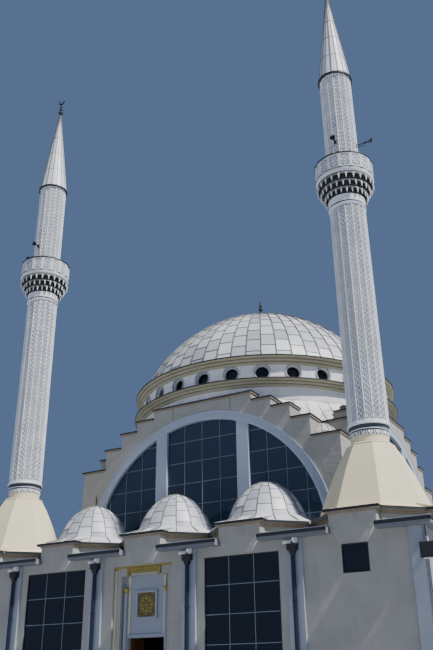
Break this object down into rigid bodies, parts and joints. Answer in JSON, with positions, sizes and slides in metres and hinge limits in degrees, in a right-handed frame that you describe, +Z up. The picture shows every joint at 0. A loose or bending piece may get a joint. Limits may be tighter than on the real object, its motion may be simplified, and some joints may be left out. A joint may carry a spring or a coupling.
{
  "type": "mosque building, 1:2 scale model",
  "caption": "Scale model of a mosque: flat-roofed front with small domes and minarets, stepped gables with arched windows, and a wide central dome on a drum.",
  "frame": {"origin": "centre of the footprint, roof eaves included, at ground level", "axes": "+Z up, +Y from the entrance front to the back, +X to the right seen from the front"},
  "size_m": [13.75, 11.35, 20.7586],
  "materials": {
    "wall_plaster": "textured grey-beige render",
    "pale_stone": "painted pale cast stone",
    "cream_plaster": "smooth cream render",
    "floor_concrete": "float-finished concrete",
    "roof_sheet": "weathered pale metal sheet with standing seams",
    "dark_sheet": "dark painted sheet",
    "pipe_paint": "dark blue satin paint",
    "window_glass": "dark tinted glass",
    "gold_trim": "gold paint",
    "door_wood": "varnished hardwood",
    "horn_plastic": "weathered grey plastic"
  },
  "bodies": {
    "root": {"ground_floor": "floor_concrete", "portal_wall": "wall_plaster", "portal_moulding": "gold_trim", "portal_plaque": "gold_trim", "front_roof": "pale_stone", "back_glass": "window_glass", "drum": "pale_stone", "oculus_glass": "window_glass", "main_dome": "roof_sheet", "front_wall_left": "wall_plaster", "front_glass_left": "window_glass", "wing_wall_left": "wall_plaster", "wing_glass_left": "window_glass", "door_leaf_left": "door_wood", "wing_roof_left": "pale_stone", "minaret_base_left": "cream_plaster", "minaret_shaft_left": "pale_stone", "minaret_balcony_left": "pale_stone", "minaret_upper_shaft_left": "pale_stone", "minaret_spire_left": "roof_sheet", "loudspeaker_front_left": "horn_plastic", "loudspeaker_side_left": "horn_plastic", "downpipe_outer_left": "pipe_paint", "downpipe_inner_left": "pipe_paint", "front_wall_right": "wall_plaster", "front_glass_right": "window_glass", "wing_wall_right": "wall_plaster", "wing_glass_right": "window_glass", "door_leaf_right": "door_wood", "wing_roof_right": "pale_stone", "minaret_base_right": "cream_plaster", "minaret_shaft_right": "pale_stone", "minaret_balcony_right": "pale_stone", "minaret_upper_shaft_right": "pale_stone", "minaret_spire_right": "roof_sheet", "loudspeaker_front_right": "horn_plastic", "loudspeaker_side_right": "horn_plastic", "downpipe_outer_right": "pipe_paint", "downpipe_inner_right": "pipe_paint", "dome_drum_left": "wall_plaster", "small_dome_left": "roof_sheet", "dome_drum_centre": "wall_plaster", "small_dome_centre": "roof_sheet", "dome_drum_right": "wall_plaster", "small_dome_right": "roof_sheet", "gable_front": "wall_plaster", "lunette_glass_front": "window_glass", "gable_right": "wall_plaster", "lunette_glass_right": "window_glass", "gable_back": "wall_plaster", "lunette_glass_back": "window_glass", "gable_left": "wall_plaster", "lunette_glass_left": "window_glass", "corner_roof_front_right": "roof_sheet", "corner_roof_back_right": "roof_sheet", "corner_roof_back_left": "roof_sheet", "corner_roof_front_left": "roof_sheet"}
  },
  "joints": []
}
